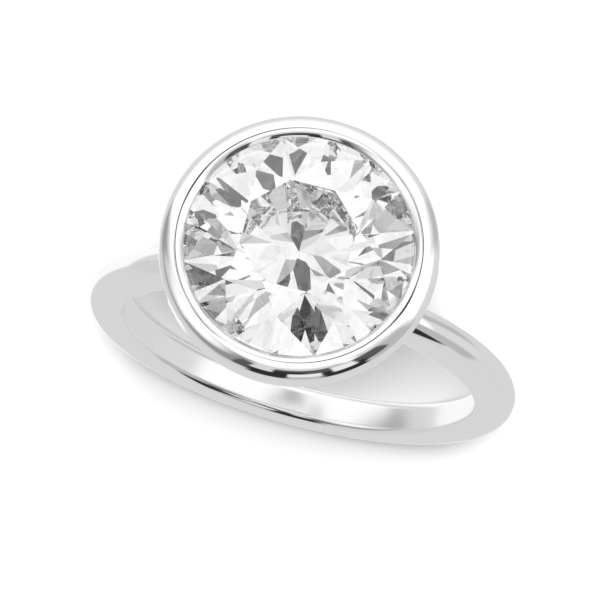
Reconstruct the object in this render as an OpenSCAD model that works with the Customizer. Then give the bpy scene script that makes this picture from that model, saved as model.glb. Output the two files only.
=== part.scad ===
// Bezel set solitaire ring, lying on its side as it rests by itself. Millimetres.
// The row's origin is on the resting surface, under the middle of the ring's bounding box.
// The stone faces -Y and the finger goes in along a line close to Z.

/* [Band] */
// Inside diameter of the band, which is the finger size
finger_d = 17; // [14:0.1:22]
// Width of the band along the finger
band_w = 1.75; // [1.5:0.05:2.4]
// Thickness of the band outwards from the finger
band_t = 1.85; // [1.6:0.05:2.4]
// Rounding of the band's two inner edges
edge_r = 0.42; // [0.2:0.02:0.6]

/* [Stone] */
// Diameter of the round stone at its girdle
stone_d = 10.55; // [9.6:0.05:11]
// Width of the table as a share of the stone's diameter
table_share = 0.512; // [0.49:0.002:0.6]
// Slope of the eight kite facets of the crown, in degrees
crown_angle = 31.2; // [30:0.1:35]
// Slope of the eight main facets of the pavilion, in degrees
pavilion_angle = 37.55; // [37:0.05:41.5]
// Height of the upright girdle where it is thickest
girdle_h = 0.24; // [0.24:0.02:0.4]
// Reach of the star facets from the table's edge towards the girdle, as a share
star_share = 0.48; // [0.4:0.02:0.6]
// Reach of the lower half facets from the girdle towards the point, as a share
lower_share = 0.81; // [0.7:0.01:0.82]
// Turn of the stone about its own axis, in degrees
stone_turn = 22.5; // [0:0.5:45]

/* [Bezel] */
// Height of the bezel's crest above the middle of the finger hole
crest_z = 15; // [14.6:0.1:16]
// Height of the upright wall and the rounding above it
wall_h = 1.25; // [1:0.05:1.6]
// How far the lip reaches in over the stone's girdle
lip_hold = 0.04; // [0.04:0.01:0.1]
// Outside diameter of the cup's foot
foot_d = 6; // [5.6:0.1:7]
// Diameter of the round opening under the stone
vent_d = 3.8; // [3.2:0.1:4]
// Clear space between the stone and the metal
fit_gap = 0.04; // [0.03:0.01:0.06]

/* [Hidden] */

$fn = 96;
over = 0.5;                                   // how far a cutting shape runs past what it cuts

// band
finger_r = finger_d / 2;
wire_r = band_w / 2;                          // the band's outer half is a half round
wire_path_r = finger_r + band_t - wire_r;     // radius of the ring that the half round runs along

// rounding of the bezel's rim: radii, and tilts away from upright where one arc meets the next
crest_edge_r = 0.34;
top_r = 1.16;
corner_r = 0.36;
lip_r = 0.8;
lip_edge_r = 0.08;
crest_out_tilt = 10;
corner_tilt = 42;
crest_in_tilt = 16;
lip_tilt = 38;
arc_steps = 6;

// rim, worked out from the stone's edge outwards
stone_r = stone_d / 2;
opening_r = stone_r - lip_hold;
crest_r = opening_r + lip_edge_r + (lip_r - lip_edge_r) * sin(lip_tilt)
          - (lip_r - crest_edge_r) * sin(crest_in_tilt);
crest_centre = [crest_r, crest_z - crest_edge_r];
lip_centre = crest_centre + (lip_r - crest_edge_r) * [sin(crest_in_tilt), -cos(crest_in_tilt)];
lip_edge_centre = lip_centre + (lip_r - lip_edge_r) * [-sin(lip_tilt), cos(lip_tilt)];
top_centre = crest_centre - (top_r - crest_edge_r) * [sin(crest_out_tilt), cos(crest_out_tilt)];
corner_centre = top_centre + (top_r - corner_r) * [sin(corner_tilt), cos(corner_tilt)];
bezel_r = corner_centre[0] + corner_r;
wall_z = crest_z - wall_h;                    // lower edge of the upright wall

// stone, upright about Z with its girdle's upper corners at girdle_z
facets = 8;
sector = 360 / facets;
half_sector = sector / 2;
arc_parts = 4;                                // girdle faces under one half facet
table_r = stone_r * table_share;
star_r = table_r * cos(half_sector) + star_share * (stone_r - table_r * cos(half_sector));
lower_r = stone_r * (1 - lower_share);
star_rise = (stone_r - star_r * cos(half_sector)) * tan(crown_angle);
lower_fall = (stone_r - lower_r * cos(half_sector)) * tan(pavilion_angle);
upper_slope = star_rise / (stone_r - star_r);     // slope of the crown where it is steepest
lower_slope = lower_fall / (stone_r - lower_r);   // slope of the pavilion where it is steepest
lip_land = 0.01;                                  // height of the upright edge inside the lip
lip_under_z = lip_edge_centre[1] - lip_land;
girdle_z = lip_under_z - fit_gap - lip_hold * upper_slope;
girdle_low_z = girdle_z - girdle_h;
table_z = girdle_z + (stone_r - table_r) * tan(crown_angle);
point_z = girdle_low_z - stone_r * tan(pavilion_angle);

// cup under the rim
seat_w = 0.45;                                // width of the ledge that carries the girdle
seat_drop = 0.15;
recess_r = stone_r + fit_gap;
seat_r = stone_r - seat_w;
seat_z = girdle_low_z - fit_gap - seat_w * lower_slope;
foot_z = finger_r + 0.5;                      // the cup's cone ends here, in a short straight foot
foot_r = foot_d / 2;
vent_r = vent_d / 2;
cone_slope = (seat_r - vent_r) / (seat_z - seat_drop - foot_z);
band_end_inset = 0.25;                        // how far the cut band reaches into the cup's wall
well_top = finger_r + band_t + over;

// resting tilt: the wall's lower edge and the half round of the band touch the surface together
tilt = acos(wire_r / norm([bezel_r, wall_z + wire_path_r])) - atan2(wall_z + wire_path_r, bezel_r);
rest_lift = bezel_r * cos(tilt) - wall_z * sin(tilt);
table_reach = table_r * cos((stone_turn + half_sector) % sector - half_sector);
front_reach = max(table_z * cos(tilt) + table_reach * sin(tilt),
                  crest_z * cos(tilt) + crest_r * sin(tilt));
back_reach = wire_path_r * cos(tilt) + wire_r;
rest_shift = (front_reach - back_reach) / 2;

// points of an arc about c whose surface tilts from a to b degrees away from upright
function tilt_arc(c, r, a, b) =
    [for (i = [0:arc_steps]) let (t = a + (b - a) * i / arc_steps) c + r * [sin(t), cos(t)]];

// lays the upright ring down: its stone axis Z goes to the front and its finger axis Y to the floor
module lay_down() {
    translate([0, rest_shift, rest_lift])
        rotate([-tilt, 0, 0])
            multmatrix([[-1, 0, 0, 0], [0, 0, -1, 0], [0, -1, 0, 0], [0, 0, 0, 1]])
                children();
}

// half of the band's section: a flat inside with rounded edges and a half round outside
module band_section() {
    translate([finger_r + edge_r, -wire_r]) square([wire_path_r - finger_r - edge_r, band_w]);
    translate([finger_r, edge_r - wire_r]) square([band_t - wire_r, band_w - 2 * edge_r]);
    translate([wire_path_r, 0]) circle(wire_r);
    for (side = [-1, 1]) translate([finger_r + edge_r, side * (wire_r - edge_r)]) circle(edge_r);
}

// ring of the band about Y, open where the cup's foot stands
module band() {
    difference() {
        rotate([90, 0, 0]) rotate_extrude($fn = 180) intersection() {
            band_section();
            translate([0, -band_w]) square([2 * finger_r, 2 * band_w]);
        }
        rotate_extrude() polygon([
            [0, 0],
            [vent_r + band_end_inset, 0],
            [vent_r + band_end_inset, foot_z],
            [vent_r + band_end_inset + (well_top - foot_z) * cone_slope, well_top],
            [0, well_top]
        ]);
    }
}

// bezel: rounded rim, upright wall, ledge under the girdle, and a cup that narrows to a foot
// hollowed to the finger
module bezel_cup() {
    difference() {
        rotate_extrude() polygon(concat(
            tilt_arc(lip_edge_centre, lip_edge_r, -90, -lip_tilt),
            tilt_arc(lip_centre, lip_r, -lip_tilt, -crest_in_tilt),
            tilt_arc(crest_centre, crest_edge_r, -crest_in_tilt, crest_out_tilt),
            tilt_arc(top_centre, top_r, crest_out_tilt, corner_tilt),
            tilt_arc(corner_centre, corner_r, corner_tilt, 90),
            [
                [bezel_r, wall_z],
                [foot_r, foot_z],
                [foot_r, finger_r - foot_r],
                [vent_r, finger_r - foot_r],
                [vent_r, foot_z],
                [seat_r, seat_z - seat_drop],
                [seat_r, seat_z],
                [recess_r, girdle_low_z - fit_gap + fit_gap * lower_slope],
                [recess_r, lip_under_z - (recess_r - opening_r) * upper_slope],
                [opening_r, lip_under_z]
            ]));
        rotate([90, 0, 0])
            cylinder(r = finger_r, h = 3 * foot_d, center = true, $fn = 180);
    }
}

module band_and_bezel() {
    color("#D9DADC") lay_down() {
        band();
        bezel_cup();
    }
}

// point at an angle round the stone
function around(r, a, z) = [r * cos(a), r * sin(a), z];
// rise or fall of a half facet at the girdle, between its two corners, a degrees from the nearer one
function scallop(a, slope_face) =
    stone_r * (cos(half_sector / 2 - a) - cos(half_sector / 2)) * slope_face;
// slope of a half facet's plane, straight out from the axis
function half_facet_slope(r, rise) =
    rise / (stone_r * cos(half_sector / 2) - r * cos(half_sector / 2));

// round brilliant: table, 8 stars, 8 kites, 16 upper halves, girdle, 16 lower halves and 8 mains
module stone() {
    ring_n = 2 * facets * arc_parts;
    step = 360 / ring_n;
    up = half_facet_slope(star_r, star_rise);
    down = half_facet_slope(lower_r, lower_fall);
    function dip(i, slope) = scallop((i % arc_parts) * step, slope);
    points = concat(
        [for (k = [0:facets - 1]) around(table_r, k * sector, table_z)],
        [for (k = [0:facets - 1]) around(star_r, (k + 0.5) * sector, girdle_z + star_rise)],
        [for (i = [0:ring_n - 1]) around(stone_r, i * step, girdle_z - dip(i, up))],
        [for (i = [0:ring_n - 1]) around(stone_r, i * step, girdle_low_z + dip(i, down))],
        [for (k = [0:facets - 1]) around(lower_r, (k + 0.5) * sector, girdle_low_z - lower_fall)],
        [[0, 0, point_z]]);
    star0 = facets;
    top0 = 2 * facets;
    low0 = top0 + ring_n;
    lower0 = low0 + ring_n;
    tip = lower0 + facets;
    run = 2 * arc_parts;
    faces = concat(
        [[for (k = [facets - 1:-1:0]) k]],
        [for (k = [0:facets - 1]) [k, (k + 1) % facets, star0 + k]],
        [for (k = [0:facets - 1]) [k, star0 + k, top0 + k * run, star0 + (k + facets - 1) % facets]],
        [for (k = [0:facets - 1], h = [0, 1])
            concat([star0 + k], [for (i = [arc_parts:-1:0]) top0 + (k * run + h * arc_parts + i) % ring_n])],
        [for (i = [0:ring_n - 1]) [top0 + i, top0 + (i + 1) % ring_n, low0 + (i + 1) % ring_n, low0 + i]],
        [for (k = [0:facets - 1], h = [0, 1])
            concat([lower0 + k], [for (i = [0:arc_parts]) low0 + (k * run + h * arc_parts + i) % ring_n])],
        [for (k = [0:facets - 1]) [tip, lower0 + (k + facets - 1) % facets, low0 + k * run, lower0 + k]]);
    color("#F4F6F8", 0.6) lay_down()
        rotate([0, 0, 90 + stone_turn]) polyhedron(points, faces);
}

band_and_bezel();
stone();
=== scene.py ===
from math import acos, atan2, cos, degrees, hypot, pi, radians, sin, tan

import bmesh
import bpy
from mathutils import Euler, Matrix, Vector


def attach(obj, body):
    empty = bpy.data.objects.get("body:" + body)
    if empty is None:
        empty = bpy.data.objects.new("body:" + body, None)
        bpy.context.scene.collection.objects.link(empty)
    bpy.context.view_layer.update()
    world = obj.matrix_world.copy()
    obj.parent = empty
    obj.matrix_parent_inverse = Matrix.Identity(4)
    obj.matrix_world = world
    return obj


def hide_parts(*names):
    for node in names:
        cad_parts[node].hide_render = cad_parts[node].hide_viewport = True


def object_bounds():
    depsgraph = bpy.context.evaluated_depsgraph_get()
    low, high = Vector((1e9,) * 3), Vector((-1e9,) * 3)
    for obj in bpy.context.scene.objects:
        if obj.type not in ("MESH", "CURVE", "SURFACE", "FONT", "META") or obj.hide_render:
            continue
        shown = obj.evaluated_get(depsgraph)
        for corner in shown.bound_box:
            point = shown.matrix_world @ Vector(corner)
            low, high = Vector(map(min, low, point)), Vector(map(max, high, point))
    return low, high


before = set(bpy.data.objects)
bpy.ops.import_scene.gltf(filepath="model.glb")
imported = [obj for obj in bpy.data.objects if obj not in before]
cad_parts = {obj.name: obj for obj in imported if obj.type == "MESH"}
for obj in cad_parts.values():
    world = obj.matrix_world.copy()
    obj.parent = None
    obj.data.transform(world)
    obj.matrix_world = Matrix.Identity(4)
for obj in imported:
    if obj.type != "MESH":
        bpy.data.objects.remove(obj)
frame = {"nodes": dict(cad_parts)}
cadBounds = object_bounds()
print("frame loaded:", ", ".join(frame["nodes"]))

mm = 0.001
mergeDistance = 1e-5   # mm

# inputs are values, or sockets to link, by the names of the node's inputs or in their order
def newNode(tree, kind, inputs=(), **settings):
    made = tree.nodes.new(kind)
    for name, value in settings.items():
        setattr(made, name, value)
    places = inputs.items() if isinstance(inputs, dict) else enumerate(inputs)
    for place, value in places:
        if isinstance(value, bpy.types.NodeSocket):
            tree.links.new(value, made.inputs[place])
        else:
            made.inputs[place].default_value = value
    return made


def newMaterial(name):
    material = bpy.data.materials.new(name)
    material.use_nodes = True
    return material, material.node_tree, material.node_tree.nodes["Principled BSDF"]


def meshObject(name, bm):
    mesh = bpy.data.meshes.new(name)
    bm.to_mesh(mesh)
    bm.free()
    piece = bpy.data.objects.new(name, mesh)
    bpy.context.scene.collection.objects.link(piece)
    return piece


# the slim band, flat inside with rounded edges and half round outside
band = {
    "fingerRadius": 8.5,
    "width": 1.75,
    "thickness": 1.85,
    "innerEdge": 0.42,
    "edgeSteps": 10,
    "domeSteps": 20,   # over each half of the half round
    "gap": 16,         # degrees either side of the cup where the band ends in its wall
    "turns": 256,
}


def bandBmesh():
    bm = bmesh.new()
    half = band["width"] / 2
    middle = band["fingerRadius"] + band["thickness"] / 2
    bmesh.ops.create_grid(bm, x_segments=1, y_segments=1, size=0.5)
    bmesh.ops.scale(bm, vec=(band["thickness"], band["width"], 1), verts=bm.verts)
    bmesh.ops.translate(bm, vec=(middle, 0, 0), verts=bm.verts)
    corners = ((True, band["innerEdge"], band["edgeSteps"]), (False, half, band["domeSteps"]))
    for inside, size, steps in corners:
        rounded = [v for v in bm.verts if (v.co.x < middle) == inside]
        bmesh.ops.bevel(bm, geom=rounded, affect="VERTICES", offset=size, offset_type="OFFSET",
                        segments=steps, profile=0.5, material=-1)
    bmesh.ops.remove_doubles(bm, verts=bm.verts, dist=mergeDistance)
    # the section starts just inside the cup's wall and goes the long way round to its other side
    start = Matrix.Rotation(radians(band["gap"] - 90), 3, "Y")
    bmesh.ops.rotate(bm, cent=(0, 0, 0), verts=bm.verts, matrix=start)
    bmesh.ops.spin(bm, geom=bm.faces[:], cent=(0, 0, 0), axis=(0, 1, 0),
                   angle=radians(360 - 2 * band["gap"]), steps=band["turns"], use_duplicate=False)
    bmesh.ops.recalc_face_normals(bm, faces=bm.faces)
    return bm


# the bezel's rim is a row of arcs from the crest to each side, each given by its radius and by the
# slope that it ends at, in degrees away from level
bezel = {
    "crestHeight": 15,       # from the middle of the finger hole
    "crestRadius": 0.34,
    "outerArcs": ((0.34, 10), (1.16, 42), (0.36, 90)),
    "lipArcs": ((0.34, -16), (0.80, -38), (0.08, -90)),
    "arcSteps": 14,
    "wallHeight": 1.25,      # of the upright wall and the arcs over it
    "footRadius": 3,
    "ventRadius": 1.9,
    "coneEnd": 9,
    "footEnd": 8,
    "ledgeWidth": 0.45,
    "ledgeDrop": 0.15,
    "turns": 256,
    "sharpAngle": 14,        # degrees between faces, past which an edge shows as one
}
# the edge of the stone that the bezel holds
girdle = {
    "radius": 5.275,
    "height": 0.24,
    "slopeAbove": 36.05,     # degrees, where the stone is steepest
    "slopeBelow": 38.04,
    "gap": 0.04,             # between the stone and the metal
    "lipHold": 0.04,         # how far the lip reaches in over the girdle
    "lipLand": 0.01,         # height of the upright edge inside the lip
}


# the centre of each arc from the crest down one side, and the angle that it turns by
def rimArcs(crest, arcs):
    radius = bezel["crestRadius"]
    slope = 0
    centre = (crest[0], crest[1] - radius)
    row = []
    for nextRadius, nextSlope in arcs:
        step = radius - nextRadius
        centre = (centre[0] + step * sin(radians(slope)), centre[1] + step * cos(radians(slope)))
        row.append((centre, nextSlope - slope))
        radius = nextRadius
        slope = nextSlope
    return row


# the cup's sizes, worked out from the stone's edge: each place is a distance from the stone's axis
# and a height
def cupSizes():
    above = tan(radians(girdle["slopeAbove"]))
    below = tan(radians(girdle["slopeBelow"]))
    opening = girdle["radius"] - girdle["lipHold"]
    lipCentre = rimArcs((0, bezel["crestHeight"]), bezel["lipArcs"])[-1][0]
    crest = (opening + bezel["lipArcs"][-1][0] - lipCentre[0], bezel["crestHeight"])
    corner = rimArcs(crest, bezel["outerArcs"])[-1][0]
    underLip = lipCentre[1] - girdle["lipLand"]
    underGirdle = underLip - girdle["lipHold"] * above - girdle["height"] - 2 * girdle["gap"]
    recess = girdle["radius"] + girdle["gap"]
    ledge = girdle["radius"] - bezel["ledgeWidth"]
    return {
        "crest": crest,
        "wall": (corner[0] + bezel["outerArcs"][-1][0], bezel["crestHeight"] - bezel["wallHeight"]),
        "ledge": (ledge, underGirdle - bezel["ledgeWidth"] * below),
        "recessLow": (recess, underGirdle + girdle["gap"] * below),
        "recessHigh": (recess, underLip - (recess - opening) * above),
        "opening": (opening, underLip),
    }


cup = cupSizes()


# the ring is drawn upright, in mm from the middle of its finger hole with the stone on top, and is
# then laid on its side as it rests, with the wall's lower edge and the band's back on the floor
def restPose():
    half = band["width"] / 2
    path = band["fingerRadius"] + band["thickness"] - half
    wallRadius, wallEnd = cup["wall"]
    tilt = acos(half / hypot(wallRadius, wallEnd + path)) - atan2(wallEnd + path, wallRadius)
    back = path * cos(tilt) + half
    return {
        "tilt": degrees(tilt),
        "forward": -cadBounds[0][1] / mm - back,   # the CAD's front is as far from the middle as its back
        "lift": wallRadius * cos(tilt) - wallEnd * sin(tilt),
    }


rest = restPose()


def restMatrix():
    upright = Matrix(((-1, 0, 0, 0), (0, 0, -1, 0), (0, -1, 0, 0), (0, 0, 0, 1)))
    turn = Matrix.Rotation(radians(-rest["tilt"]), 4, "X")
    shift = Matrix.Translation((0, rest["forward"], rest["lift"]))
    return Matrix.Scale(mm, 4) @ shift @ turn @ upright


def lineTo(bm, start, point):
    end = bmesh.ops.extrude_vert_indiv(bm, verts=[start])["verts"][0]
    end.co = (point[0], 0, point[1])
    return end


def arcTo(bm, start, centre, angle):
    made = bmesh.ops.spin(bm, geom=[start], cent=(centre[0], 0, centre[1]), axis=(0, 1, 0),
                          angle=radians(angle), steps=bezel["arcSteps"], use_duplicate=False)
    return [part for part in made["geom_last"] if isinstance(part, bmesh.types.BMVert)][0]


def arcsFrom(bm, start, arcs):
    for centre, angle in rimArcs(cup["crest"], arcs):
        start = arcTo(bm, start, centre, angle)
    return start


def cupBmesh():
    bm = bmesh.new()
    crest = bm.verts.new((cup["crest"][0], 0, cup["crest"][1]))
    lipEnd = arcsFrom(bm, crest, bezel["lipArcs"])
    end = arcsFrom(bm, crest, bezel["outerArcs"])
    ledge, ledgeTop = cup["ledge"]
    underside = (
        cup["wall"],
        (bezel["footRadius"], bezel["coneEnd"]),
        (bezel["footRadius"], bezel["footEnd"]),
        (bezel["ventRadius"], bezel["footEnd"]),
        (bezel["ventRadius"], bezel["coneEnd"]),
        (ledge, ledgeTop - bezel["ledgeDrop"]),
        cup["ledge"],
        cup["recessLow"],
        cup["recessHigh"],
        cup["opening"],
    )
    for point in underside:
        end = lineTo(bm, end, point)
    bm.edges.new((end, lipEnd))
    bmesh.ops.spin(bm, geom=bm.verts[:] + bm.edges[:], cent=(0, 0, 0), axis=(0, 0, 1), angle=2 * pi,
                   steps=bezel["turns"], use_merge=True, use_duplicate=False)
    bmesh.ops.remove_doubles(bm, verts=bm.verts, dist=mergeDistance)
    bmesh.ops.recalc_face_normals(bm, faces=bm.faces)
    return bm


# the foot of the cup is hollowed to the finger
fingerPlug = {"radius": 8.52, "length": 20, "segments": 512}


def plugBmesh():
    bm = bmesh.new()
    bmesh.ops.create_cone(bm, cap_ends=True, segments=fingerPlug["segments"], radius1=fingerPlug["radius"],
                          radius2=fingerPlug["radius"], depth=fingerPlug["length"],
                          matrix=Matrix.Rotation(pi / 2, 4, "X"))
    return bm


def addMetal():
    piece = meshObject("bandAndBezel", cupBmesh())
    plug = meshObject("plug", plugBmesh())
    hoop = meshObject("hoop", bandBmesh())
    for tool, kind in ((plug, "DIFFERENCE"), (hoop, "UNION")):
        join = piece.modifiers.new(kind.lower(), "BOOLEAN")
        join.operation = kind
        join.solver = "EXACT"
        join.object = tool
    seen = bpy.context.evaluated_depsgraph_get()
    mesh = bpy.data.meshes.new_from_object(piece.evaluated_get(seen))
    piece.modifiers.clear()
    for tool in (plug, hoop):
        bpy.data.objects.remove(tool)
    mesh.name = "bandAndBezel"
    mesh.transform(restMatrix())
    piece.data = mesh
    for face in mesh.polygons:
        face.use_smooth = True
    mesh.set_sharp_from_angle(angle=radians(bezel["sharpAngle"]))
    return piece


metal = addMetal()
print("metal modelled:", len(metal.data.polygons), "faces")


# a hand polish leaves the metal a little less sharp in soft patches
polish = {
    "colour": (0.96, 0.96, 0.965, 1),
    "patchScale": 900,            # per metre
    "patchDetail": 3,
    "patchRange": (0.35, 0.7),    # of the noise, between the sharpest and the softest metal
    "roughness": (0.018, 0.05),
    "grainScale": 9000,           # per metre
    "grainStrength": 0.25,
    "grainHeight": 0.0000006,     # metres
    "insideRoughness": 0.22,      # the finger wears the band's inside to a satin finish
    "insideRadius": (8.53, 8.6),  # mm, where that finish ends
}


def patchRoughness(tree, place):
    patches = newNode(tree, "ShaderNodeTexNoise",
                      {"Vector": place, "Scale": polish["patchScale"], "Detail": polish["patchDetail"]})
    return newNode(tree, "ShaderNodeMapRange",
                   (patches.outputs["Fac"], *polish["patchRange"], *polish["roughness"])).outputs["Result"]


def insideRoughness(tree, place):
    # the distance from the finger's axis tells the inside of the band
    centre = (0, rest["forward"] * mm, rest["lift"] * mm)
    turn = (radians(-rest["tilt"]), 0, 0)
    upright = newNode(tree, "ShaderNodeMapping", {"Vector": place, "Location": centre, "Rotation": turn},
                      vector_type="TEXTURE")
    flat = newNode(tree, "ShaderNodeVectorMath", (upright.outputs["Vector"], (1, 1, 0)), operation="MULTIPLY")
    reach = newNode(tree, "ShaderNodeVectorMath", (flat.outputs["Vector"],), operation="LENGTH")
    ends = [radius * mm for radius in polish["insideRadius"]]
    return newNode(tree, "ShaderNodeMapRange",
                   (reach.outputs["Value"], *ends, polish["insideRoughness"], 0)).outputs["Result"]


def polishedMetal():
    material, tree, shader = newMaterial("polishedWhiteMetal")
    shader.inputs["Base Color"].default_value = polish["colour"]
    shader.inputs["Metallic"].default_value = 1
    place = newNode(tree, "ShaderNodeTexCoord").outputs["Object"]
    rougher = newNode(tree, "ShaderNodeMath", (patchRoughness(tree, place), insideRoughness(tree, place)),
                      operation="MAXIMUM")
    tree.links.new(rougher.outputs["Value"], shader.inputs["Roughness"])
    grain = newNode(tree, "ShaderNodeTexNoise", {"Vector": place, "Scale": polish["grainScale"]})
    bump = newNode(tree, "ShaderNodeBump", {
        "Strength": polish["grainStrength"],
        "Distance": polish["grainHeight"],
        "Height": grain.outputs["Fac"],
    })
    tree.links.new(bump.outputs["Normal"], shader.inputs["Normal"])
    return material


stone = {"colour": (1, 1, 1, 1), "refraction": 2.41}


def clearStone():
    material, tree, shader = newMaterial("clearStone")
    shader.inputs["Base Color"].default_value = stone["colour"]
    shader.inputs["Roughness"].default_value = 0
    shader.inputs["IOR"].default_value = stone["refraction"]
    shader.inputs["Transmission Weight"].default_value = 1
    return material


metal.data.materials.clear()
metal.data.materials.append(polishedMetal())
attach(metal, "root")
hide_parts("band_and_bezel")
for slot in bpy.data.objects["stone"].material_slots:
    slot.material = clearStone()
print("materials given")

floor = {
    "halfSize": 3,   # metres
    "colour": (0.5, 0.5, 0.5, 1),
    "roughness": 0.9,
}


def addFloor():
    bm = bmesh.new()
    bmesh.ops.create_grid(bm, x_segments=1, y_segments=1, size=floor["halfSize"])
    ground = meshObject("floor", bm)
    material, tree, shader = newMaterial("paleFloor")
    shader.inputs["Base Color"].default_value = floor["colour"]
    shader.inputs["Roughness"].default_value = floor["roughness"]
    shader.inputs["Specular IOR Level"].default_value = 0
    ground.data.materials.append(material)
    ground.visible_glossy = False
    ground.visible_transmission = False


# the surroundings that the metal and the stone mirror: bearings are degrees round the stone's axis,
# from the viewer's side towards the ring's right, and heights are degrees over the girdle's plane
studio = {
    "sky": 1.1,                # over the girdle's plane
    "below": 0.69,             # under that plane
    "belowLeft": 1.0,          # the same, on the far left
    "leftEdge": (-100, -88),   # degrees, where the far left fades into the rest
    "horizon": (-3, 3),        # degrees, where the lower ones fade into the sky
    "seenSky": 1.0,            # what the camera sees past the floor
}
cards = [
    {"name": "haze low all round", "level": 0.72, "bearing": (-200, 200), "height": (-15, 21), "soft": 8},
    {"name": "haze front and left", "level": 0.65, "bearing": (-104, 46), "height": (-15, 66), "soft": 10},
    {"name": "dark strip on the left", "level": 0.37, "bearing": (-113, -30), "height": (16, 24), "soft": 7},
    {"name": "grey wall far left", "level": 0.34, "bearing": (-110, -93), "height": (11, 50), "soft": 10},
    {"name": "grey wall front left", "level": 0.29, "bearing": (-59, -20), "height": (23, 66), "soft": 8},
    {"name": "grey wall back right", "level": 0.50, "bearing": (124, 144), "height": (-20, 43), "soft": 10},
    {"name": "grey wall right", "level": 0.49, "bearing": (56, 86), "height": (-14, 70), "soft": 10},
    {"name": "dark frame in front", "level": 0.10, "bearing": (-25, 69), "height": (26, 56), "soft": 3},
    {"name": "dark under left pane", "level": 0.03, "bearing": (-15, 18), "height": (7, 49), "soft": 6},
    {"name": "grey low front right", "level": 0.51, "bearing": (8, 51), "height": (-3, 25), "soft": 5},
    {"name": "dark under right pane", "level": 0.03, "bearing": (28, 55), "height": (-2, 41), "soft": 6},
    {"name": "left pane", "level": 0.70, "bearing": (-16, -2), "height": (40, 64), "soft": 3},
    {"name": "middle pane", "level": 0.85, "bearing": (8, 28), "height": (26, 40), "soft": 2.5},
    {"name": "right pane", "level": 0.85, "bearing": (35, 50), "height": (32, 54), "soft": 3},
]
# round ones have one direction and the radii, in degrees, where they begin to fade and end
discs = [
    {"name": "softbox on the left", "level": 1.05, "bearing": -62, "height": 48, "full": 6, "edge": 23},
    {"name": "broad glow at the back", "level": 1.08, "bearing": -176, "height": 59, "full": 25, "edge": 61},
    {"name": "dark hood overhead", "level": 0.03, "bearing": -188, "height": 75, "full": 6.5, "edge": 9.5},
    {"name": "dark bar left of it", "level": 0.05, "bearing": -99, "height": 74, "full": 3, "edge": 5},
    {"name": "dark bar behind it", "level": 0.08, "bearing": -131, "height": 71, "full": 3, "edge": 5},
    {"name": "dark bar on the right", "level": 0.0, "bearing": 134, "height": 72, "full": 2, "edge": 5},
]


def newWorld():
    world = bpy.data.worlds.new("studio")
    bpy.context.scene.world = world
    world.use_nodes = True
    world.node_tree.nodes.clear()
    return world.node_tree


worldTree = newWorld()


def addNode(kind, inputs=(), **settings):
    return newNode(worldTree, kind, inputs, **settings)


def maths(kind, *values):
    return addNode("ShaderNodeMath", values, operation=kind).outputs[0]


def along(ray, direction):
    return addNode("ShaderNodeVectorMath", (ray, direction), operation="DOT_PRODUCT").outputs["Value"]


def ramp(value, low, high):
    return addNode("ShaderNodeMapRange", (value, low, high, 0, 1), interpolation_type="SMOOTHSTEP").outputs[0]


# under + mask * (over - under)
def blend(mask, under, over, label=""):
    step = maths("SUBTRACT", over, under)
    return addNode("ShaderNodeMath", (mask, step, under), operation="MULTIPLY_ADD", label=label).outputs[0]


# a direction of the upright ring, as it lies on the floor
def ringDirection(across, toViewer, upward):
    tilt = radians(rest["tilt"])
    return (-across, toViewer * sin(tilt) - upward * cos(tilt), toViewer * cos(tilt) + upward * sin(tilt))


def between(value, limits, soft):
    low, high = limits
    rising = ramp(value, low - soft / 2, low + soft / 2)
    falling = ramp(value, high + soft / 2, high - soft / 2)
    return maths("MULTIPLY", rising, falling)


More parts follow.
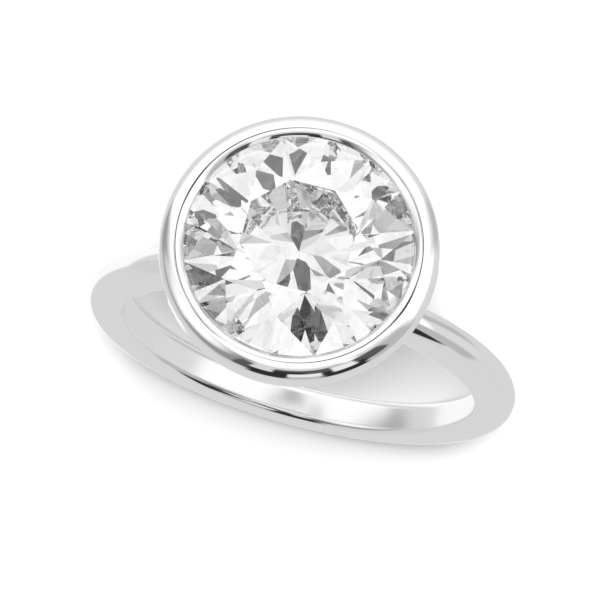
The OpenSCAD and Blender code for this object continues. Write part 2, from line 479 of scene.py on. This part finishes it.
def studioLevel(ray):
    upward = along(ray, ringDirection(0, 0, 1))
    turn = maths("ARCTAN2", along(ray, ringDirection(1, 0, 0)), along(ray, ringDirection(0, 1, 0)))
    bearing = maths("MULTIPLY", turn, degrees(1))
    height = maths("MULTIPLY", maths("ARCSINE", upward), degrees(1))
    below = blend(ramp(bearing, *studio["leftEdge"]), studio["belowLeft"], studio["below"])
    level = blend(ramp(height, *studio["horizon"]), below, studio["sky"])
    for card in cards:
        mask = maths("MULTIPLY", between(bearing, card["bearing"], card["soft"]),
                     between(height, card["height"], card["soft"]))
        level = blend(mask, level, card["level"], card["name"])
    for disc in discs:
        turned = radians(disc["bearing"])
        raised = radians(disc["height"])
        middle = ringDirection(sin(turned) * cos(raised), cos(turned) * cos(raised), sin(raised))
        near = along(ray, middle)
        mask = ramp(near, cos(radians(disc["edge"])), cos(radians(disc["full"])))
        level = blend(mask, level, disc["level"], disc["name"])
    return level


def lightStudio():
    ray = addNode("ShaderNodeTexCoord").outputs["Generated"]
    glow = addNode("ShaderNodeBackground", ((1, 1, 1, 1), studioLevel(ray)))
    seenSky = addNode("ShaderNodeBackground", ((1, 1, 1, 1), studio["seenSky"]))
    seen = addNode("ShaderNodeLightPath").outputs["Is Camera Ray"]
    either = addNode("ShaderNodeMixShader", (seen, glow.outputs[0], seenSky.outputs[0]))
    addNode("ShaderNodeOutputWorld", (either.outputs[0],))


# a broad soft lamp from the stone's side lights the floor and lays the band's shadow behind it
lamp = {"energy": 20.5, "size": 30, "lean": 69, "swing": -5}   # degrees, but for the energy


def addLamp():
    data = bpy.data.lights.new("frontSoftbox", "SUN")
    data.energy = lamp["energy"]
    data.angle = radians(lamp["size"])
    box = bpy.data.objects.new("frontSoftbox", data)
    box.rotation_euler = Euler((radians(lamp["lean"]), 0, radians(lamp["swing"])))
    box.visible_glossy = False
    box.visible_transmission = False
    bpy.context.scene.collection.objects.link(box)


addFloor()
lightStudio()
addLamp()
print("studio lit")

# the photograph's view: over the floor, turned so that the bezel stands over the band
cameraView = {
    "place": (-35.0308, -339.2816, 206.8080),   # mm
    "turn": (-57.8998, 14.7313, -176.8975),     # degrees
    "lens": 511.1,
    "sensor": 36,
    "sees": (0.01, 20),                         # metres
}


def addCamera():
    data = bpy.data.cameras.new("camera")
    data.lens = cameraView["lens"]
    data.sensor_width = cameraView["sensor"]
    data.clip_start, data.clip_end = cameraView["sees"]
    camera = bpy.data.objects.new("camera", data)
    camera.location = [v * mm for v in cameraView["place"]]
    camera.rotation_euler = Euler([radians(v) for v in cameraView["turn"]])
    bpy.context.scene.collection.objects.link(camera)
    bpy.context.scene.camera = camera


addCamera()
bounces = 32   # enough for light to find its way out of the stone
scene = bpy.context.scene
scene.view_settings.view_transform = "Standard"
scene.cycles.max_bounces = bounces
scene.cycles.glossy_bounces = bounces
scene.cycles.transmission_bounces = bounces
print("camera placed")
